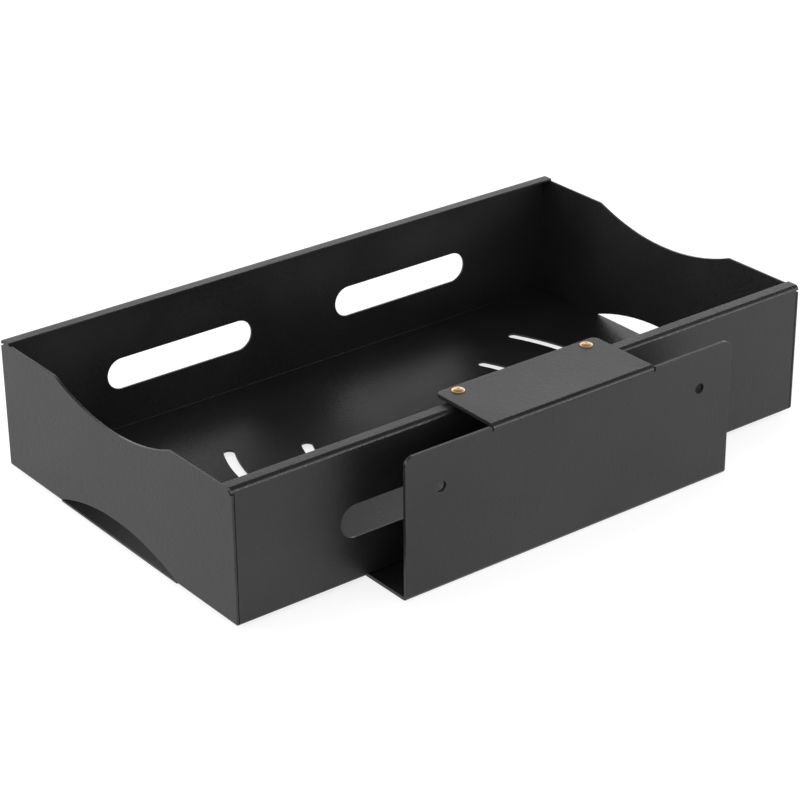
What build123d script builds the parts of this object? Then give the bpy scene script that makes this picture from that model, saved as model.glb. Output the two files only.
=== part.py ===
from build123d import *
import os

# Under desk drawer: a tray folded from one steel sheet, held between the tab and
# the foot of a folded steel hanger bracket. Two brass pins riveted into the tab
# hang behind the tray's front flange, so the tray runs sideways and stays on.
#
# Origin: midway between the two screw holes, on the bracket's outer face.
# +X runs along the tray's length, +Y from the bracket into the tray, +Z up.
# All sizes are in millimetres.

# ---- tray ----
TRAY_LENGTH = 350.0
TRAY_DEPTH = 200.0
TRAY_HEIGHT = 70.0
TRAY_SHEET = 1.2
FLANGE_WIDTH = 7.5
FLANGE_BEND = 2.5
FLOOR_BEND = 1.5
CORNER_SEAM = 0.4
CORNER_SEAM_DEPTH = 0.5
FLANGE_RELIEF_WIDTH = 1.8
FLANGE_RELIEF_DEPTH = 1.0

# ---- openings in the tray ----
SLOT_LENGTH = 89.0
SLOT_HEIGHT = 17.0
SLOT_SPACING = 144.0
SLOT_ABOVE_FLOOR = 31.3
SCOOP_WIDTH = 100.0
SCOOP_DEPTH = 10.0
WINDOW_WIDTH = 102.0
WINDOW_HEIGHT = 11.2
VENT_FIRST_RADIUS = 52.6
VENT_STEP = 40.0
VENT_COUNT = 3
VENT_WIDTH = 5.6
VENT_HALF_ANGLE = 26.0

# ---- hanger bracket ----
BRACKET_WIDTH = 201.0
BRACKET_SHEET = 2.0
BRACKET_BEND = 2.5
BRACKET_REACH = 27.5
TAB_WIDTH = 99.0
TAB_REACH = 43.0
TAB_CORNER = 3.5
TAB_RELIEF = 0.8
FOOT_REACH = 60.0
FOOT_CORNER = 6.0
EAR_DROP = 1.0
EAR_CORNER = 5.0
RUN_CLEARANCE = 0.5
SCREW_SPACING = 160.0
SCREW_HOLE = 5.5
SCREW_ABOVE_FLOOR = 51.0

# ---- guide pins ----
PIN_SPACING = 79.5
PIN_HEAD = 6.4
PIN_HEAD_HEIGHT = 1.1
PIN_HEAD_RIM = 0.35
PIN_HEAD_SHOULDER = 0.85
PIN_CENTRE_MARK = 1.2
PIN_CENTRE_MARK_DEPTH = 0.25
PIN_SHANK = 4.0
PIN_BODY = 5.0
PIN_BODY_LENGTH = 6.0
PIN_BODY_CHAMFER = 0.5
PIN_EDGE_CLEARANCE = 0.4

# ---- levels and planes that follow from the sizes above ----
FLOOR_UNDER = -SCREW_ABOVE_FLOOR
FLANGE_TOP = FLOOR_UNDER + TRAY_HEIGHT
WALL_TOP = FLANGE_TOP - TRAY_SHEET
TRAY_FRONT = BRACKET_REACH
TRAY_BACK = TRAY_FRONT + TRAY_DEPTH
TRAY_MIDDLE = (TRAY_FRONT + TRAY_BACK) / 2
HALF_LENGTH = TRAY_LENGTH / 2

TAB_UNDER = FLANGE_TOP + RUN_CLEARANCE
TAB_TOP = TAB_UNDER + BRACKET_SHEET
TAB_BEND_LOW = TAB_TOP - BRACKET_BEND
EAR_TOP = TAB_TOP - EAR_DROP
FOOT_UNDER = FLOOR_UNDER - BRACKET_SHEET

PIN_Y = TRAY_FRONT + FLANGE_WIDTH + PIN_EDGE_CLEARANCE + PIN_BODY / 2

# Cutting tools reach this far past the sheet that they cut.
OVERCUT = 5.0

# Two places closer than this are the same place.
SAME_PLACE = 0.01


def span(x_range, y_range, z_range):
    """A block between two corners."""
    size = [high - low for low, high in (x_range, y_range, z_range)]
    middle = [(low + high) / 2 for low, high in (x_range, y_range, z_range)]
    return Pos(*middle) * Box(*size)


def folded_profile(plane, corners, bend_radii, sheet):
    """The section of a sheet folded at each inner corner, sheet to the left of the path."""
    path = FilletPolyline(*corners, radius=bend_radii)
    return plane * make_face(offset(path, sheet, side=Side.LEFT))


def segment_cut(chord, height):
    """A circular segment on a chord along local X, rising to local +Y."""
    top = ThreePointArc((-chord / 2, 0), (0, height), (chord / 2, 0))
    return make_face([top, Line((chord / 2, 0), (-chord / 2, 0))])


def block_with_rounded_foot(inset, low, high, radius):
    """A block the size of the tray less an inset all round, its bottom edges rounded."""
    x_range = (-HALF_LENGTH + inset, HALF_LENGTH - inset)
    y_range = (TRAY_FRONT + inset, TRAY_BACK - inset)
    block = span(x_range, y_range, (low, high))
    return fillet(block.faces().sort_by(Axis.Z)[0].edges(), radius)


def tray_pan():
    """Floor and four walls, the floor bends meeting in mitres, cut down where the flanges start."""
    inside_low = FLOOR_UNDER + TRAY_SHEET
    pan = block_with_rounded_foot(0, FLOOR_UNDER, WALL_TOP, FLOOR_BEND)
    pan -= block_with_rounded_foot(TRAY_SHEET, inside_low, FLANGE_TOP, FLOOR_BEND - TRAY_SHEET)
    x_all = (-HALF_LENGTH - OVERCUT, HALF_LENGTH + OVERCUT)
    for wall, inward in ((TRAY_FRONT, 1), (TRAY_BACK, -1)):
        past_bend = sorted((wall - inward * OVERCUT, wall + inward * FLANGE_BEND))
        pan -= span(x_all, past_bend, (FLANGE_TOP - FLANGE_BEND, FLANGE_TOP))
    return pan


def tray_flange(wall, inward):
    """The bend and the flange along the top of one long wall, with a strip of the wall below."""
    strip_low = FLANGE_TOP - 2 * FLANGE_BEND
    corners = [(wall + inward * FLANGE_WIDTH, FLANGE_TOP), (wall, FLANGE_TOP), (wall, strip_low)]
    path = FilletPolyline(*corners, radius=FLANGE_BEND)
    sheet_side = Side.LEFT if inward > 0 else Side.RIGHT
    section = make_face(offset(path, TRAY_SHEET, side=sheet_side))
    return extrude(Plane.YZ * section, HALF_LENGTH, both=True)


def corner_seams():
    """Shallow grooves where the front and back walls butt against the side walls."""
    grooves = []
    z_range = (FLOOR_UNDER, FLANGE_TOP - FLANGE_BEND)
    seam_x = HALF_LENGTH - TRAY_SHEET - CORNER_SEAM / 2
    for x in (-seam_x, seam_x):
        for wall, inward in ((TRAY_FRONT, 1), (TRAY_BACK, -1)):
            y_range = sorted((wall - inward * OVERCUT, wall + inward * CORNER_SEAM_DEPTH))
            grooves.append(span((x - CORNER_SEAM / 2, x + CORNER_SEAM / 2), y_range, z_range))
    return grooves


def flange_reliefs():
    """Small notches in the side walls where the flanges' bends begin, one at each corner."""
    notches = []
    bend_start = FLANGE_TOP - FLANGE_BEND
    for side in (-1, 1):
        past_end = sorted((side * (HALF_LENGTH - TRAY_SHEET), side * (HALF_LENGTH + OVERCUT)))
        for wall, inward in ((TRAY_FRONT, 1), (TRAY_BACK, -1)):
            y_range = sorted((wall - inward * OVERCUT, wall + inward * FLANGE_RELIEF_WIDTH))
            notches.append(span(past_end, y_range, (bend_start - FLANGE_RELIEF_DEPTH, bend_start)))
    return notches


def wall_slots():
    """Two round-ended slots that pass through the front wall and the back wall."""
    slots = []
    for x in (-SLOT_SPACING / 2, SLOT_SPACING / 2):
        outline = Plane.XZ * SlotOverall(SLOT_LENGTH, SLOT_HEIGHT)
        cutter = extrude(outline, TRAY_DEPTH / 2 + OVERCUT, both=True)
        slots.append(Pos(x, TRAY_MIDDLE, FLOOR_UNDER + SLOT_ABOVE_FLOOR) * cutter)
    return slots


def side_scoop():
    """Hollows in the top edges of both side walls, cut in one pass."""
    outline = Plane.YZ * (Rot(0, 0, 180) * segment_cut(SCOOP_WIDTH, SCOOP_DEPTH))
    above = Plane.YZ * (Pos(0, OVERCUT / 2) * Rectangle(SCOOP_WIDTH, OVERCUT))
    cutter = extrude(outline, HALF_LENGTH + OVERCUT, both=True)
    cutter += extrude(above, HALF_LENGTH + OVERCUT, both=True)
    return Pos(0, TRAY_MIDDLE, WALL_TOP) * cutter


def side_windows():
    """Low arched windows through both side walls, standing on the floor's upper face."""
    cutters = []
    sill = FLOOR_UNDER + TRAY_SHEET
    outline = Plane.YZ * segment_cut(WINDOW_WIDTH, WINDOW_HEIGHT - TRAY_SHEET)
    inner = HALF_LENGTH - FLOOR_BEND - OVERCUT
    for x in (-HALF_LENGTH - OVERCUT, inner):
        cutters.append(Pos(x, TRAY_MIDDLE, sill) * extrude(outline, FLOOR_BEND + 2 * OVERCUT))
    return cutters


def window_sills():
    """The floor runs flat out to the wall planes under the windows."""
    y_range = (TRAY_MIDDLE - WINDOW_WIDTH / 2, TRAY_MIDDLE + WINDOW_WIDTH / 2)
    return span((-HALF_LENGTH, HALF_LENGTH), y_range, (FLOOR_UNDER, FLOOR_UNDER + TRAY_SHEET))


def floor_vents():
    """Curved slots on rings about the middle of the floor, to the left and right."""
    cutters = []
    for step in range(VENT_COUNT):
        radius = VENT_FIRST_RADIUS + step * VENT_STEP
        for facing in (0, 180):
            start = facing - VENT_HALF_ANGLE
            line = CenterArc((0, 0), radius, start, 2 * VENT_HALF_ANGLE)
            band = SlotArc(line, VENT_WIDTH)
            cutter = extrude(band, TRAY_SHEET + OVERCUT, both=True)
            cutters.append(Pos(0, TRAY_MIDDLE, FLOOR_UNDER) * cutter)
    return cutters


def make_tray():
    tray = tray_pan() + tray_flange(TRAY_FRONT, 1) + tray_flange(TRAY_BACK, -1)
    tray += window_sills()
    tray -= corner_seams()
    tray -= flange_reliefs()
    tray -= wall_slots()
    tray -= side_scoop()
    tray -= side_windows()
    tray -= floor_vents()
    return tray


def round_corners(part, along, half_width, distance_off, radius):
    """Round the left and right corner of a sheet's end, where distance_off(centre) is zero."""
    corners = []
    for edge in part.edges().filter_by(along):
        centre = edge.center()
        if abs(abs(centre.X) - half_width) < SAME_PLACE and abs(distance_off(centre)) < SAME_PLACE:
            corners.append(edge)
    return fillet(corners, radius)


def make_hanger_bracket():
    corners = [
        (TAB_REACH, TAB_TOP),
        (0, TAB_TOP),
        (0, FOOT_UNDER),
        (FOOT_REACH, FOOT_UNDER),
    ]
    profile = folded_profile(Plane.YZ, corners, [BRACKET_BEND, BRACKET_BEND], BRACKET_SHEET)
    bracket = extrude(profile, BRACKET_WIDTH / 2, both=True)

    # Either side of the tab the sheet stays flat and ends as an ear with a rounded corner.
    y_all = (-OVERCUT, TAB_REACH + OVERCUT)
    for side in (-1, 1):
        past_tab = sorted((side * TAB_WIDTH / 2, side * (BRACKET_WIDTH / 2 + OVERCUT)))
        ear = sorted((side * TAB_WIDTH / 2, side * BRACKET_WIDTH / 2))
        relief = sorted((side * TAB_WIDTH / 2, side * (TAB_WIDTH / 2 + TAB_RELIEF)))
        bracket -= span(past_tab, y_all, (TAB_BEND_LOW, TAB_TOP + OVERCUT))
        bracket += span(ear, (0, BRACKET_SHEET), (TAB_BEND_LOW, EAR_TOP))
        bracket -= span(relief, y_all, (TAB_BEND_LOW - TAB_RELIEF, TAB_TOP + OVERCUT))

    bracket = round_corners(bracket, Axis.Y, BRACKET_WIDTH / 2, lambda p: p.Z - EAR_TOP, EAR_CORNER)
    bracket = round_corners(bracket, Axis.Z, TAB_WIDTH / 2, lambda p: p.Y - TAB_REACH, TAB_CORNER)
    bracket = round_corners(bracket, Axis.Z, BRACKET_WIDTH / 2, lambda p: p.Y - FOOT_REACH, FOOT_CORNER)

    through = 2 * (BRACKET_SHEET + OVERCUT)
    for x in (-SCREW_SPACING / 2, SCREW_SPACING / 2):
        bracket -= Pos(x, 0, 0) * Rot(90, 0, 0) * Cylinder(SCREW_HOLE / 2, through)
    for x in (-PIN_SPACING / 2, PIN_SPACING / 2):
        bracket -= Pos(x, PIN_Y, TAB_TOP) * Cylinder(PIN_SHANK / 2, through)
    return bracket


def make_guide_pin():
    """A turned pin: body below the tab, shank through it, and a low formed head on top."""
    head_low = BRACKET_SHEET
    head_high = head_low + PIN_HEAD_HEIGHT
    body_low = -PIN_BODY_LENGTH
    rim = head_low + PIN_HEAD_RIM
    crown_start = (PIN_HEAD / 2, rim)
    crown_middle = (PIN_HEAD / 4, head_low + PIN_HEAD_SHOULDER)
    outline = [
        Line((0, body_low), (PIN_BODY / 2 - PIN_BODY_CHAMFER, body_low)),
        Line((PIN_BODY / 2 - PIN_BODY_CHAMFER, body_low), (PIN_BODY / 2, body_low + PIN_BODY_CHAMFER)),
        Line((PIN_BODY / 2, body_low + PIN_BODY_CHAMFER), (PIN_BODY / 2, 0)),
        Line((PIN_BODY / 2, 0), (PIN_SHANK / 2, 0)),
        Line((PIN_SHANK / 2, 0), (PIN_SHANK / 2, head_low)),
        Line((PIN_SHANK / 2, head_low), (PIN_HEAD / 2, head_low)),
        Line((PIN_HEAD / 2, head_low), crown_start),
        ThreePointArc(crown_start, crown_middle, (0, head_high)),
        Line((0, head_high), (0, body_low)),
    ]
    pin = revolve(Plane.XZ * make_face(outline), Axis.Z)
    mark = Pos(0, 0, head_high) * Cylinder(PIN_CENTRE_MARK / 2, 2 * PIN_CENTRE_MARK_DEPTH)
    return pin - mark


def make_guide_pins():
    places = [Pos(x, PIN_Y, TAB_UNDER) for x in (-PIN_SPACING / 2, PIN_SPACING / 2)]
    return Compound([place * make_guide_pin() for place in places])


NODES = {
    "tray": make_tray,
    "hanger_bracket": make_hanger_bracket,
    "guide_pins": make_guide_pins,
}

os.makedirs("parts", exist_ok=True)
for node, make in NODES.items():
    export_step(make(), f"parts/{node}.step")
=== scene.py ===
import math

import bmesh
import bpy
from mathutils import Matrix, Vector


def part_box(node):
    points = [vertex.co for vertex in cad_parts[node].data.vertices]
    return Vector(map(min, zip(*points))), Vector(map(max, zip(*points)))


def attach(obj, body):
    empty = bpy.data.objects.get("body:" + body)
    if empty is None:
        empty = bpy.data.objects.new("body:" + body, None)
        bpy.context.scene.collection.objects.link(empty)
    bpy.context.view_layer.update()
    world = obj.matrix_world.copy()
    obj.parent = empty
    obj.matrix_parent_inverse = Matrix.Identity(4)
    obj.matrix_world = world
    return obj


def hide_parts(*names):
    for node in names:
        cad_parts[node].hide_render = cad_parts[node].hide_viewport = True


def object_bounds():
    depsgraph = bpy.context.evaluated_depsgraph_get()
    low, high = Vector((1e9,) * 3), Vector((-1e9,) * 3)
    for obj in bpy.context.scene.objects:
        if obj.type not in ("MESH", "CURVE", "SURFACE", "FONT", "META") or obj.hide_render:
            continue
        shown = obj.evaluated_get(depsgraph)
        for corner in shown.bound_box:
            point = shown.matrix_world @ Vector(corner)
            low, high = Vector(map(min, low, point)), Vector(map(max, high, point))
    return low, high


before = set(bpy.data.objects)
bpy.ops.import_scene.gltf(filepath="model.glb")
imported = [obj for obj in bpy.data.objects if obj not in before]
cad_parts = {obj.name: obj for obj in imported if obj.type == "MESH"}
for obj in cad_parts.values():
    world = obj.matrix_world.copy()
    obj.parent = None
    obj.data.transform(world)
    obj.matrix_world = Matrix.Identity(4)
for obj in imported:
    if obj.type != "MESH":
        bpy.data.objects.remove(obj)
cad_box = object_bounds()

# Under desk drawer in black powder-coated steel: a folded tray that slides sideways
# between the tab and the foot of a folded hanger bracket, kept on by two brass pins.
# Lengths are in metres. +X runs along the tray, +Y from the bracket into the tray.

MM = 0.001

# ---- the sheets' edges and folds ----
TRAY_EDGE_ROUND = 0.20 * MM
BRACKET_EDGE_ROUND = 0.25 * MM
EDGE_SEGMENTS = 3
# Points this close are one point.
SAME_POINT = 0.001 * MM
# An outer corner sharper than this is a cut edge, and gets rounded.
CUT_EDGE_FROM = math.radians(40)
# An inner corner sharper than this stays crisp.
CREASE_FROM = math.radians(30)
# A face whose normal has at least this much along one axis is flat sheet.
# Any other one is round: a fold, a rounded edge or the end of a slot.
FLAT_ABOVE = 0.998
# 50 weighs each face by its plain area where faces share a point.
BIG_FACE_WEIGHT = 50

# ---- masks: the noise at which each one starts, and at which it is full ----
RUBBED_SPAN = (0.42, 0.68)
SMUDGE_SPAN = (0.35, 0.68)
SPECK_SPAN = (0.70, 0.78)
GRAIN_SPAN = (0.3, 0.7)

# ---- black powder coat ----
COAT_COLOUR = (0.0065, 0.0065, 0.007)
GRAIN_DARK = 0.82
GRAIN_LIGHT = 1.16
SMUDGE_COLOUR = (0.06, 0.06, 0.06, 1.0)
SMUDGE_SHARE = 0.10
DUST_COLOUR = (0.16, 0.155, 0.15, 1.0)
DUST_SHARE = 0.10
RUBBED_COLOUR = (0.13, 0.13, 0.135, 1.0)
RUBBED_SHARE = 0.35
EDGE_WEAR = 0.5
RELIEF_HEIGHT = 0.20 * MM
PEEL_SHARE = 0.35
COAT_SPECULAR = 0.38
COAT_ROUGHNESS = 0.42
CLEAN_SMOOTHER_BY = 0.03
SMUDGED_ROUGHER_BY = 0.05
RUBBED_SMOOTHER_BY = 0.12
WORN_GLOSS_SHARE = 0.5
# The coat lies thinner and smoother where the sheet is stretched round a fold.
FOLD_ROUGHNESS = 0.25

# ---- turned brass ----
BRASS_SMUDGE_SCALE = 420.0
BRASS_SPECK_SCALE = 4000.0
BRASS_BRIGHT = (0.86, 0.60, 0.33, 1.0)
# Painted shade on the pin heads: a darker colour at the head's centre, turning to bright brass at its rim.
BRASS_PAINTED_SHADE_CENTRE = (0.66, 0.43, 0.22, 1.0)
BRASS_TARNISH = (0.52, 0.31, 0.14, 1.0)
TARNISH_SHARE = 0.45
# The painted shade is full inside the first radius and gone at the second, the bright rim.
PAINTED_SHADE_RADIUS = 1.7 * MM
BRIGHT_RIM_RADIUS = 2.9 * MM
BRASS_ROUGHNESS = 0.26
TARNISHED_ROUGHNESS = 0.42
RING_PITCH = 0.28 * MM
RING_DEPTH = 0.01 * MM
RING_RELIEF = 0.5
RING_WOBBLE = 3.0
RING_WOBBLE_SCALE = 900.0
RING_TARNISH_SHARE = 0.18

# ---- guide pins, riveted through the bracket's tab ----
TAB_SHEET = 2.0 * MM
HEAD_DIAMETER = 6.4 * MM
HEAD_RIM = 0.35 * MM
SHANK_DIAMETER = 4.0 * MM
BODY_DIAMETER = 5.0 * MM
BODY_CHAMFER = 0.5 * MM
MARK_DIAMETER = 1.2 * MM
MARK_DEPTH = 0.25 * MM
MARK_FLOOR_SHARE = 0.7
PIN_EDGE_ROUND = 0.12 * MM
PIN_EDGE_POINTS = 2
PIN_SIDES = 64
# The head's crown: shares of the head's radius, and of the crown's rise at that radius.
CROWN = ((0.86, 0.38), (0.66, 0.68), (0.42, 0.90))
# The profile is swept round a circle this small, whose gap is then closed.
AXIS_RADIUS = 0.002 * MM
AXIS_CLOSES_WITHIN = 3 * AXIS_RADIUS

# ---- camera ----
VIEW_AZIMUTH = math.radians(-37.54)
VIEW_ELEVATION = math.radians(26.27)
VIEW_ROLL = math.radians(-0.565)
VIEW_DISTANCE = 1266.3 * MM
VIEW_TARGET = Vector((-20.83 * MM, 107.09 * MM, -16.0 * MM))
# Sensor and lens in millimetres, the nearest and farthest reach in metres.
SENSOR_WIDTH = 36.0
LENS = 114.96
NEAREST = 0.05
FARTHEST = 50.0

# ---- studio floor ----
FLOOR_SIDE = 12.0
FLOOR_DARK = (0.34, 0.34, 0.34, 1.0)
FLOOR_LIGHT = (0.36, 0.36, 0.36, 1.0)
FLOOR_DRIFT_SCALE = 2.0
FLOOR_ROUGHNESS = 0.9
FLOOR_SPECULAR = 0.1
FLOOR_GLOW = 0.76
WHITE = (1.0, 1.0, 1.0, 1.0)

# ---- surround: what the camera sees, and the brightness at each rise above the horizon ----
BACKDROP = (1.02, 1.02, 1.02, 1.0)
SURROUND = (
    (0.0, 1.30),
    (0.12, 1.40),
    (0.34, 2.55),
    (0.47, 1.45),
    (0.62, 0.30),
    (1.0, 0.24),
)

# ---- soft boxes: name, place, width, height, power in watts, whether the coat mirrors it ----
# The two fills bring the floor and the left wall up without a bright patch in the coat.
# The low strip at the front right draws the thin bright line along the folds.
SOFTBOXES = (
    ("overhead_fill", (0.0, 0.1, 3.0), 4.0, 4.0, 36.0, False),
    ("left_fill", (-1.2, 0.9, 0.75), 0.5, 0.5, 8.0, False),
    ("front_strip", (0.65, -1.0, 0.20), 1.0, 0.12, 3.0, True),
)
SOFTBOX_AIM = Vector((0.0, 0.1, 0.0))


# ---------------------------------------------------------------- helpers

def feed(tree, socket, value):
    """Link the socket to the one given, or set it to a plain value."""
    if isinstance(value, bpy.types.NodeSocket):
        tree.links.new(value, socket)
    else:
        socket.default_value = value


def add_node(tree, kind, settings=(), **inputs):
    """A node with its properties set, and its inputs fed by socket name."""
    node = tree.nodes.new(kind)
    for key, value in dict(settings).items():
        setattr(node, key, value)
    for key, value in inputs.items():
        feed(tree, node.inputs[key.replace("_", " ")], value)
    return node


def math_node(tree, operation, first, second=0.0, clamp=False):
    node = add_node(tree, "ShaderNodeMath", {"operation": operation, "use_clamp": clamp})
    feed(tree, node.inputs[0], first)
    feed(tree, node.inputs[1], second)
    return node.outputs[0]


def part_of(tree, value, share):
    return math_node(tree, "MULTIPLY", value, share)


def by_identifier(sockets, identifier):
    return next(socket for socket in sockets if socket.identifier == identifier)


def mixed(tree, kind, factor, first, second):
    """A Mix node's result, where kind is Float or Color."""
    node = add_node(tree, "ShaderNodeMix", {"data_type": {"Float": "FLOAT", "Color": "RGBA"}[kind]})
    feed(tree, by_identifier(node.inputs, "Factor_Float"), factor)
    feed(tree, by_identifier(node.inputs, "A_" + kind), first)
    feed(tree, by_identifier(node.inputs, "B_" + kind), second)
    return by_identifier(node.outputs, "Result_" + kind)


def remapped(tree, value, low, high):
    """0 where the value is low or less, 1 where it is high or more."""
    return add_node(tree, "ShaderNodeMapRange", Value=value, From_Min=low, From_Max=high).outputs["Result"]


def noise(tree, vector, scale, detail, roughness, seed):
    settings = {"noise_dimensions": "4D"}
    inputs = {"Vector": vector, "Scale": scale, "Detail": detail, "Roughness": roughness, "W": seed}
    return add_node(tree, "ShaderNodeTexNoise", settings, **inputs).outputs["Fac"]


def object_place(tree):
    return tree.nodes.new("ShaderNodeTexCoord").outputs["Object"]


def stored_value(tree, name):
    """What the mesh holds under this name, such as its distance from an axis."""
    return add_node(tree, "ShaderNodeAttribute", {"attribute_name": name}).outputs["Fac"]


def new_material(name):
    material = bpy.data.materials.new(name)
    material.use_nodes = True
    tree = material.node_tree
    tree.nodes.clear()
    output = tree.nodes.new("ShaderNodeOutputMaterial")
    shader = tree.nodes.new("ShaderNodeBsdfPrincipled")
    tree.links.new(shader.outputs["BSDF"], output.inputs["Surface"])
    return material, tree, shader


def new_group(name, inputs, outputs):
    """A shader node group that takes a place on the piece, and the named values given."""
    group = bpy.data.node_groups.new(name, "ShaderNodeTree")
    group.interface.new_socket(name="Vector", in_out="INPUT", socket_type="NodeSocketVector")
    for socket_name, default in inputs.items():
        socket = group.interface.new_socket(
            name=socket_name, in_out="INPUT", socket_type="NodeSocketFloat")
        socket.default_value = default
    for socket_name in outputs:
        group.interface.new_socket(name=socket_name, in_out="OUTPUT", socket_type="NodeSocketFloat")
    entry = group.nodes.new("NodeGroupInput").outputs
    leave = group.nodes.new("NodeGroupOutput").inputs
    return group, entry, leave


def use_group(tree, group, **inputs):
    return add_node(tree, "ShaderNodeGroup", {"node_tree": group}, **inputs).outputs


# ---------------------------------------------------------------- shader groups

def build_edge_wear_group():
    """Where a rounded edge has been rubbed: only on the edge, and broken up along it."""
    inputs = {"Edge": 0.0, "Patch Scale": 60.0, "Amount": 0.5}
    group, entry, leave = new_group("rubbed_edges", inputs, ["Mask"])
    patches = noise(
        group, entry["Vector"], entry["Patch Scale"], detail=4.0, roughness=0.6, seed=3.1)
    broken = remapped(group, patches, *RUBBED_SPAN)
    on_edge = math_node(group, "MULTIPLY", broken, entry["Edge"])
    mask = math_node(group, "MULTIPLY", on_edge, entry["Amount"], clamp=True)
    group.links.new(mask, leave["Mask"])
    return group


def build_handling_group():
    """Faint smudges and settled dust: a slow drift and a finer speckle."""
    inputs = {"Smudge Scale": 18.0, "Speck Scale": 900.0}
    group, entry, leave = new_group("handling_marks", inputs, ["Smudge", "Specks"])
    slow = noise(
        group, entry["Vector"], entry["Smudge Scale"], detail=5.0, roughness=0.55, seed=7.4)
    fine = noise(
        group, entry["Vector"], entry["Speck Scale"], detail=1.0, roughness=0.5, seed=1.9)
    group.links.new(remapped(group, slow, *SMUDGE_SPAN), leave["Smudge"])
    group.links.new(remapped(group, fine, *SPECK_SPAN), leave["Specks"])
    return group


def build_powder_group():
    """The relief of a baked powder coat: fine grains on a slow orange peel."""
    inputs = {"Grain Scale": 1300.0, "Peel Scale": 420.0, "Peel Share": 0.5}
    group, entry, leave = new_group("powder_relief", inputs, ["Height", "Grain"])
    grain = noise(
        group, entry["Vector"], entry["Grain Scale"], detail=2.0, roughness=0.55, seed=0.6)
    peel = noise(
        group, entry["Vector"], entry["Peel Scale"], detail=1.0, roughness=0.4, seed=5.2)
    group.links.new(mixed(group, "Float", entry["Peel Share"], grain, peel), leave["Height"])
    group.links.new(remapped(group, grain, *GRAIN_SPAN), leave["Grain"])
    return group


# ---------------------------------------------------------------- materials

def powder_coat_material(name, groups):
    """Satin black powder coat, slightly rubbed on the sheet's edges and smoother on its folds."""
    material, tree, shader = new_material(name)
    place = object_place(tree)
    on_edge = stored_value(tree, "sheet_edge")
    on_fold = stored_value(tree, "folded_over")
    relief = use_group(tree, groups["powder"], Vector=place, Peel_Share=PEEL_SHARE)
    marks = use_group(tree, groups["handling"], Vector=place)
    worn = use_group(tree, groups["edge"], Vector=place, Edge=on_edge, Amount=EDGE_WEAR)["Mask"]

    dark = [channel * GRAIN_DARK for channel in COAT_COLOUR] + [1.0]
    light = [channel * GRAIN_LIGHT for channel in COAT_COLOUR] + [1.0]
    colour = mixed(tree, "Color", relief["Grain"], dark, light)
    for mask, share, layer in (
        (marks["Smudge"], SMUDGE_SHARE, SMUDGE_COLOUR),
        (marks["Specks"], DUST_SHARE, DUST_COLOUR),
        (worn, RUBBED_SHARE, RUBBED_COLOUR),
    ):
        colour = mixed(tree, "Color", part_of(tree, mask, share), colour, layer)
    tree.links.new(colour, shader.inputs["Base Color"])

    clean = COAT_ROUGHNESS - CLEAN_SMOOTHER_BY
    smudged = COAT_ROUGHNESS + SMUDGED_ROUGHER_BY
    satin = mixed(tree, "Float", marks["Smudge"], clean, smudged)
    rubbed = COAT_ROUGHNESS - RUBBED_SMOOTHER_BY
    polished = mixed(tree, "Float", part_of(tree, worn, WORN_GLOSS_SHARE), satin, rubbed)
    stretched = mixed(tree, "Float", on_fold, polished, FOLD_ROUGHNESS)
    tree.links.new(stretched, shader.inputs["Roughness"])
    shader.inputs["Specular IOR Level"].default_value = COAT_SPECULAR

    bump = add_node(
        tree, "ShaderNodeBump", Height=relief["Height"], Strength=1.0, Distance=RELIEF_HEIGHT)
    tree.links.new(bump.outputs["Normal"], shader.inputs["Normal"])
    return material


def brass_material(name, groups):
    """Turned brass, lightly tarnished, with painted shade darkening each head's centre and faint rings
    from the forming tool.
    """
    material, tree, shader = new_material(name)
    place = object_place(tree)
    from_axis = stored_value(tree, "from_axis")
    marks = use_group(
        tree, groups["handling"],
        Vector=place, Smudge_Scale=BRASS_SMUDGE_SCALE, Speck_Scale=BRASS_SPECK_SCALE)
    rings = math_node(tree, "MULTIPLY", from_axis, 2 * math.pi / RING_PITCH)
    drift = noise(tree, place, RING_WOBBLE_SCALE, detail=2.0, roughness=0.5, seed=2.2)
    wobbled = math_node(tree, "ADD", rings, part_of(tree, drift, RING_WOBBLE))
    ridge = remapped(tree, math_node(tree, "SINE", wobbled), -1.0, 1.0)

    # Painted shade: each head is darker at its centre and bright brass towards its rim.
    out_of_painted_shade = remapped(tree, from_axis, PAINTED_SHADE_RADIUS, BRIGHT_RIM_RADIUS)
    colour = mixed(tree, "Color", out_of_painted_shade, BRASS_PAINTED_SHADE_CENTRE, BRASS_BRIGHT)
    for mask, share in ((marks["Smudge"], TARNISH_SHARE), (ridge, RING_TARNISH_SHARE)):
        colour = mixed(tree, "Color", part_of(tree, mask, share), colour, BRASS_TARNISH)
    tree.links.new(colour, shader.inputs["Base Color"])

    roughness = mixed(tree, "Float", marks["Smudge"], BRASS_ROUGHNESS, TARNISHED_ROUGHNESS)
    tree.links.new(roughness, shader.inputs["Roughness"])
    shader.inputs["Metallic"].default_value = 1.0
    bump = add_node(tree, "ShaderNodeBump", Height=ridge, Strength=RING_RELIEF, Distance=RING_DEPTH)
    tree.links.new(bump.outputs["Normal"], shader.inputs["Normal"])
    return material


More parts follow.
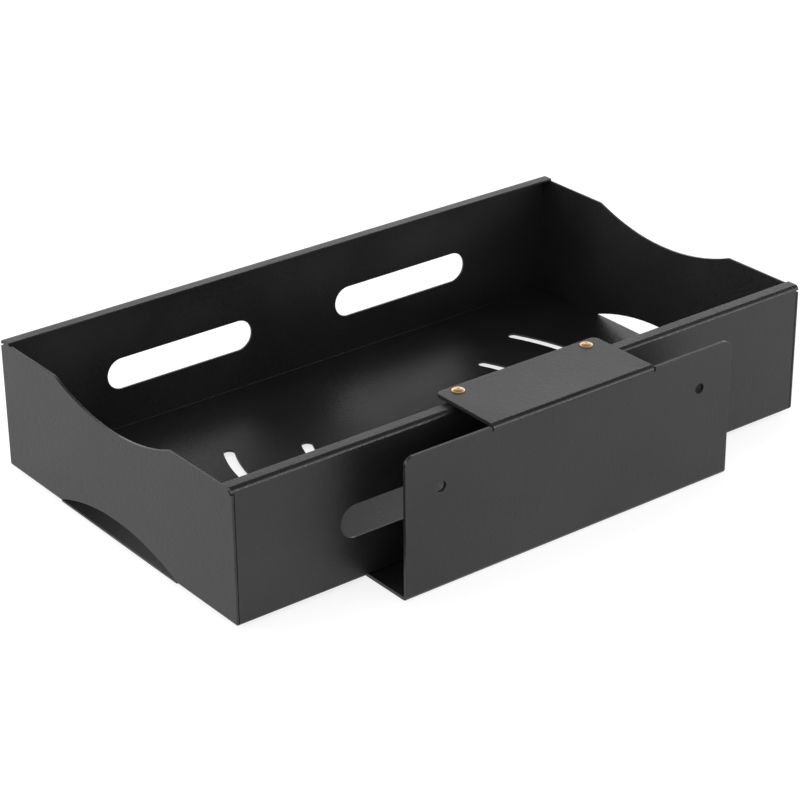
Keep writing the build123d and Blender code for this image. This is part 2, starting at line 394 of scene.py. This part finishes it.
def studio_floor_material():
    """Matt pale floor with a slight glow, clear from below so that the underside can be seen."""
    material, tree, shader = new_material("studio_floor")
    drift = noise(tree, object_place(tree), FLOOR_DRIFT_SCALE, detail=2.0, roughness=0.5, seed=0.3)
    tree.links.new(mixed(tree, "Color", drift, FLOOR_DARK, FLOOR_LIGHT), shader.inputs["Base Color"])
    shader.inputs["Roughness"].default_value = FLOOR_ROUGHNESS
    shader.inputs["Specular IOR Level"].default_value = FLOOR_SPECULAR
    shader.inputs["Emission Color"].default_value = WHITE
    shader.inputs["Emission Strength"].default_value = FLOOR_GLOW
    clear = tree.nodes.new("ShaderNodeBsdfTransparent")
    from_below = tree.nodes.new("ShaderNodeNewGeometry").outputs["Backfacing"]
    either = add_node(tree, "ShaderNodeMixShader", Fac=from_below)
    tree.links.new(shader.outputs["BSDF"], either.inputs[1])
    tree.links.new(clear.outputs["BSDF"], either.inputs[2])
    output = next(node for node in tree.nodes if node.type == "OUTPUT_MATERIAL")
    tree.links.new(either.outputs["Shader"], output.inputs["Surface"])
    return material


# ---------------------------------------------------------------- finished meshes

def link_object(name, data):
    thing = bpy.data.objects.new(name, data)
    bpy.context.scene.collection.objects.link(thing)
    return thing


def settle_modifiers(piece):
    """Give the piece the plain mesh that its modifiers make, and take them off."""
    bpy.context.view_layer.update()
    graph = bpy.context.evaluated_depsgraph_get()
    plain = bpy.data.meshes.new_from_object(
        piece.evaluated_get(graph), preserve_all_data_layers=True, depsgraph=graph)
    piece.modifiers.clear()
    piece.data = plain
    plain.name = piece.name


# ---------------------------------------------------------------- folded sheets

def mark_faces(faces, layer):
    """1 in the layer at every corner of the faces."""
    for face in faces:
        for loop in face.loops:
            loop[layer] = 1.0


def is_flat_sheet(face):
    return max(abs(part) for part in face.normal) >= FLAT_ABOVE


def folded_sheet_mesh(name, node, edge_round):
    """A copy of the node's sheet with its cut edges rounded, as they are under a coat."""
    shape = bmesh.new()
    shape.from_mesh(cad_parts[node].data)
    bmesh.ops.remove_doubles(shape, verts=shape.verts, dist=SAME_POINT)
    for edge in shape.edges:
        edge.smooth = True
    cut_edges = [
        edge for edge in shape.edges
        if edge.is_manifold and edge.is_convex and edge.calc_face_angle() > CUT_EDGE_FROM
    ]
    rounded = bmesh.ops.bevel(
        shape,
        geom=cut_edges,
        offset=edge_round,
        offset_type="OFFSET",
        segments=EDGE_SEGMENTS,
        profile=0.5,
        affect="EDGES",
        clamp_overlap=False,
    )
    for edge in shape.edges:
        if edge.is_manifold and not edge.is_convex and edge.calc_face_angle() > CREASE_FROM:
            edge.smooth = False
    for face in shape.faces:
        face.smooth = True
    on_edge = shape.loops.layers.float.new("sheet_edge")
    on_fold = shape.loops.layers.float.new("folded_over")
    mark_faces([face for face in shape.faces if not is_flat_sheet(face)], on_fold)
    mark_faces(rounded["faces"], on_edge)
    mesh = bpy.data.meshes.new(name)
    shape.to_mesh(mesh)
    shape.free()
    return mesh


def folded_sheet_piece(name, node, edge_round, material):
    """The coated sheet, its big faces shaded flat right up to their rounded edges."""
    piece = link_object(name, folded_sheet_mesh(name, node, edge_round))
    even = piece.modifiers.new("even_shading", "WEIGHTED_NORMAL")
    even.mode = "FACE_AREA"
    even.weight = BIG_FACE_WEIGHT
    even.keep_sharp = True
    settle_modifiers(piece)
    piece.data.materials.clear()
    piece.data.materials.append(material)
    return piece


# ---------------------------------------------------------------- guide pins

def guide_pin_sizes():
    """Every length that the pins' tree asks for, the places and heights from the frame."""
    low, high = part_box("guide_pins")
    tab_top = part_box("hanger_bracket")[1].z
    tab_under = tab_top - TAB_SHEET
    return {
        "Spacing": (high.x - low.x) - HEAD_DIAMETER,
        "Middle Y": (low.y + high.y) / 2,
        "Tab Under": tab_under,
        "Tab Sheet": TAB_SHEET,
        "Head Radius": HEAD_DIAMETER / 2,
        "Head Height": high.z - tab_top,
        "Head Rim": HEAD_RIM,
        "Shank Radius": SHANK_DIAMETER / 2,
        "Body Radius": BODY_DIAMETER / 2,
        "Body Length": tab_under - low.z,
        "Body Chamfer": BODY_CHAMFER,
        "Mark Radius": MARK_DIAMETER / 2,
        "Mark Depth": MARK_DEPTH,
        "Edge Round": PIN_EDGE_ROUND,
    }


def guide_pin_profile(tree, size):
    """(distance from the axis, height above the tab's underside) rows, from the bottom up."""
    def plus(first, second):
        return math_node(tree, "ADD", first, second)

    def less(first, second):
        return math_node(tree, "SUBTRACT", first, second)

    foot = part_of(tree, size["Body Length"], -1.0)
    rim_top = plus(size["Tab Sheet"], size["Head Rim"])
    crown_rise = less(size["Head Height"], size["Head Rim"])
    top = plus(size["Tab Sheet"], size["Head Height"])
    mark_floor = less(top, size["Mark Depth"])
    return [
        (0.0, foot),
        (less(size["Body Radius"], size["Body Chamfer"]), foot),
        (size["Body Radius"], plus(foot, size["Body Chamfer"])),
        (size["Body Radius"], 0.0),
        (size["Shank Radius"], 0.0),
        (size["Shank Radius"], size["Tab Sheet"]),
        (size["Head Radius"], size["Tab Sheet"]),
        (size["Head Radius"], rim_top),
    ] + [
        (part_of(tree, size["Head Radius"], reach), plus(rim_top, part_of(tree, crown_rise, rise)))
        for reach, rise in CROWN
    ] + [
        (size["Mark Radius"], top),
        (part_of(tree, size["Mark Radius"], MARK_FLOOR_SHARE), mark_floor),
        (0.0, mark_floor),
    ]


def profile_curve(tree, profile, edge_round):
    """The profile's points joined up, with its corners rounded."""
    chain = add_node(tree, "GeometryNodeMeshLine", Count=len(profile))
    number = tree.nodes.new("GeometryNodeInputIndex").outputs["Index"]
    pick = add_node(tree, "GeometryNodeIndexSwitch", {"data_type": "VECTOR"}, Index=number)
    while len(pick.index_switch_items) < len(profile):
        pick.index_switch_items.new()
    for row, (radius, height) in enumerate(profile):
        # The sweep turns the profile's X outwards and its Y down.
        down = part_of(tree, height, -1.0)
        point = add_node(tree, "ShaderNodeCombineXYZ", X=radius, Y=down)
        tree.links.new(point.outputs["Vector"], pick.inputs[str(row)])
    placed = add_node(
        tree, "GeometryNodeSetPosition",
        Geometry=chain.outputs["Mesh"], Position=pick.outputs["Output"])
    line = add_node(tree, "GeometryNodeMeshToCurve", Mesh=placed.outputs["Geometry"])
    return add_node(
        tree, "GeometryNodeFilletCurve", {"mode": "POLY"},
        Curve=line.outputs["Curve"], Radius=edge_round,
        Count=PIN_EDGE_POINTS, Limit_Radius=True).outputs["Curve"]


def turned_on_axis(tree, profile, sides):
    """The profile swept round the axis and closed, each point keeping its distance from it."""
    round_path = add_node(
        tree, "GeometryNodeCurvePrimitiveCircle", Resolution=sides, Radius=AXIS_RADIUS)
    turned = add_node(
        tree, "GeometryNodeCurveToMesh", Curve=round_path.outputs["Curve"], Profile_Curve=profile)
    closed = add_node(
        tree, "GeometryNodeMergeByDistance",
        Geometry=turned.outputs["Mesh"], Distance=AXIS_CLOSES_WITHIN)
    spot = tree.nodes.new("GeometryNodeInputPosition").outputs["Position"]
    apart = add_node(tree, "ShaderNodeSeparateXYZ", Vector=spot).outputs
    squares = [math_node(tree, "POWER", apart[axis], 2.0) for axis in ("X", "Y")]
    from_axis = math_node(tree, "SQRT", math_node(tree, "ADD", *squares))
    marked = add_node(
        tree, "GeometryNodeStoreNamedAttribute", {"data_type": "FLOAT", "domain": "POINT"},
        Geometry=closed.outputs["Geometry"], Name="from_axis", Value=from_axis)
    smooth = add_node(
        tree, "GeometryNodeSetShadeSmooth",
        Geometry=marked.outputs["Geometry"], Shade_Smooth=True)
    return smooth.outputs["Geometry"]


def placed_as_pair(tree, pin, size):
    """The pin at both ends of the spacing, level with the tab's underside."""
    first_x = part_of(tree, size["Spacing"], -0.5)
    first = add_node(
        tree, "ShaderNodeCombineXYZ", X=first_x, Y=size["Middle Y"], Z=size["Tab Under"])
    step = add_node(tree, "ShaderNodeCombineXYZ", X=size["Spacing"])
    places = add_node(
        tree, "GeometryNodeMeshLine", Count=2,
        Start_Location=first.outputs["Vector"], Offset=step.outputs["Vector"])
    pair = add_node(
        tree, "GeometryNodeInstanceOnPoints", Points=places.outputs["Mesh"], Instance=pin)
    real = add_node(tree, "GeometryNodeRealizeInstances", Geometry=pair.outputs["Instances"])
    return real.outputs["Geometry"]


def build_guide_pin_tree(sizes):
    """Turned pins: one profile swept round an axis, set at both ends of a spacing."""
    tree = bpy.data.node_groups.new("guide_pin_pair", "GeometryNodeTree")
    add_socket = tree.interface.new_socket
    for name, length in sizes.items():
        socket = add_socket(name=name, in_out="INPUT", socket_type="NodeSocketFloat")
        socket.default_value = length
    add_socket(name="Sides", in_out="INPUT", socket_type="NodeSocketInt").default_value = PIN_SIDES
    add_socket(name="Finish", in_out="INPUT", socket_type="NodeSocketMaterial")
    add_socket(name="Geometry", in_out="OUTPUT", socket_type="NodeSocketGeometry")
    entry = tree.nodes.new("NodeGroupInput").outputs
    leave = tree.nodes.new("NodeGroupOutput").inputs

    profile = profile_curve(tree, guide_pin_profile(tree, entry), entry["Edge Round"])
    pair = placed_as_pair(tree, turned_on_axis(tree, profile, entry["Sides"]), entry)
    finished = add_node(tree, "GeometryNodeSetMaterial", Geometry=pair, Material=entry["Finish"])
    tree.links.new(finished.outputs["Geometry"], leave["Geometry"])
    return tree


def guide_pins_piece(name, material):
    """Both pins as one plain mesh, with its faces pointing outwards."""
    sizes = guide_pin_sizes()
    pins = link_object(name, bpy.data.meshes.new(name))
    turned = pins.modifiers.new("turned", "NODES")
    turned.node_group = build_guide_pin_tree(sizes)
    values = {**sizes, "Sides": PIN_SIDES, "Finish": material}
    for item in turned.node_group.interface.items_tree:
        if item.item_type == "SOCKET" and item.in_out == "INPUT":
            turned[item.identifier] = values[item.name]
    settle_modifiers(pins)

    shape = bmesh.new()
    shape.from_mesh(pins.data)
    bmesh.ops.recalc_face_normals(shape, faces=shape.faces)
    shape.to_mesh(pins.data)
    shape.free()
    return pins


# ---------------------------------------------------------------- studio

def build_camera():
    """The camera at its distance from the target, with its slight roll."""
    level = math.cos(VIEW_ELEVATION)
    back = Vector((
        math.sin(VIEW_AZIMUTH) * level,
        -math.cos(VIEW_AZIMUTH) * level,
        math.sin(VIEW_ELEVATION),
    ))
    level_right = Vector((math.cos(VIEW_AZIMUTH), math.sin(VIEW_AZIMUTH), 0.0))
    level_up = back.cross(level_right)
    right = level_right * math.cos(VIEW_ROLL) + level_up * math.sin(VIEW_ROLL)
    up = level_up * math.cos(VIEW_ROLL) - level_right * math.sin(VIEW_ROLL)
    place = VIEW_TARGET + back * VIEW_DISTANCE
    data = bpy.data.cameras.new("camera")
    data.sensor_width = SENSOR_WIDTH
    data.lens = LENS
    data.clip_start = NEAREST
    data.clip_end = FARTHEST
    camera = link_object("camera", data)
    camera.matrix_world = Matrix((
        (right.x, up.x, back.x, place.x),
        (right.y, up.y, back.y, place.y),
        (right.z, up.z, back.z, place.z),
        (0.0, 0.0, 0.0, 1.0),
    ))
    bpy.context.scene.camera = camera


def lay_studio_floor():
    """A square floor at the height of the object's lowest point."""
    bottom = cad_box[0].z
    half = FLOOR_SIDE / 2
    corners = [(x * half, y * half, bottom) for x, y in ((-1, -1), (1, -1), (1, 1), (-1, 1))]
    mesh = bpy.data.meshes.new("studio_floor")
    mesh.from_pydata(corners, [], [(0, 1, 2, 3)])
    mesh.materials.append(studio_floor_material())
    floor = link_object("studio_floor", mesh)


def light_surround():
    """A surround that is brightest a third of the way up, plain where the camera looks at it."""
    world = bpy.data.worlds.new("soft_studio")
    bpy.context.scene.world = world
    world.use_nodes = True
    tree = world.node_tree
    direction = tree.nodes.new("ShaderNodeTexCoord").outputs["Generated"]
    rise = add_node(tree, "ShaderNodeSeparateXYZ", Vector=direction).outputs["Z"]
    ramp = add_node(tree, "ShaderNodeValToRGB", Fac=rise)
    stops = ramp.color_ramp.elements
    while len(stops) < len(SURROUND):
        stops.new(1.0)
    for stop, (height, level) in zip(stops, SURROUND):
        stop.position = height
        stop.color = (level, level, level, 1.0)
    looked_at = tree.nodes.new("ShaderNodeLightPath").outputs["Is Camera Ray"]
    seen = mixed(tree, "Color", looked_at, ramp.outputs["Color"], BACKDROP)
    background = tree.nodes["Background"]
    tree.links.new(seen, background.inputs["Color"])
    background.inputs["Strength"].default_value = 1.0


def add_softbox(name, place, width, height, power, mirrored):
    """A rectangular light turned towards the drawer, out of the camera's sight."""
    light = bpy.data.lights.new(name, "AREA")
    light.shape = "RECTANGLE"
    light.size = width
    light.size_y = height
    light.energy = power
    box = link_object(name, light)
    box.location = place
    box.rotation_mode = "QUATERNION"
    box.rotation_quaternion = (SOFTBOX_AIM - Vector(place)).to_track_quat("-Z", "Y")
    box.visible_glossy = mirrored
    box.visible_camera = False


# ---------------------------------------------------------------- the drawer

build_camera()
lay_studio_floor()
light_surround()
for softbox in SOFTBOXES:
    add_softbox(*softbox)
bpy.context.scene.view_settings.view_transform = "Standard"

groups = {
    "edge": build_edge_wear_group(),
    "handling": build_handling_group(),
    "powder": build_powder_group(),
}
tray_coat = powder_coat_material("tray_powder_coat", groups)
bracket_coat = powder_coat_material("bracket_powder_coat", groups)
brass = brass_material("turned_brass", groups)

tray = folded_sheet_piece("folded_tray", "tray", TRAY_EDGE_ROUND, tray_coat)
bracket = folded_sheet_piece("folded_hanger_bracket", "hanger_bracket", BRACKET_EDGE_ROUND, bracket_coat)
pins = guide_pins_piece("turned_guide_pins", brass)

for piece, node, body, finish in (
    (tray, "tray", "drawer", "black_powder_coat"),
    (bracket, "hanger_bracket", "hanger", "black_powder_coat"),
    (pins, "guide_pins", "hanger", "brass"),
):
    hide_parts(node)
    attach(piece, body)
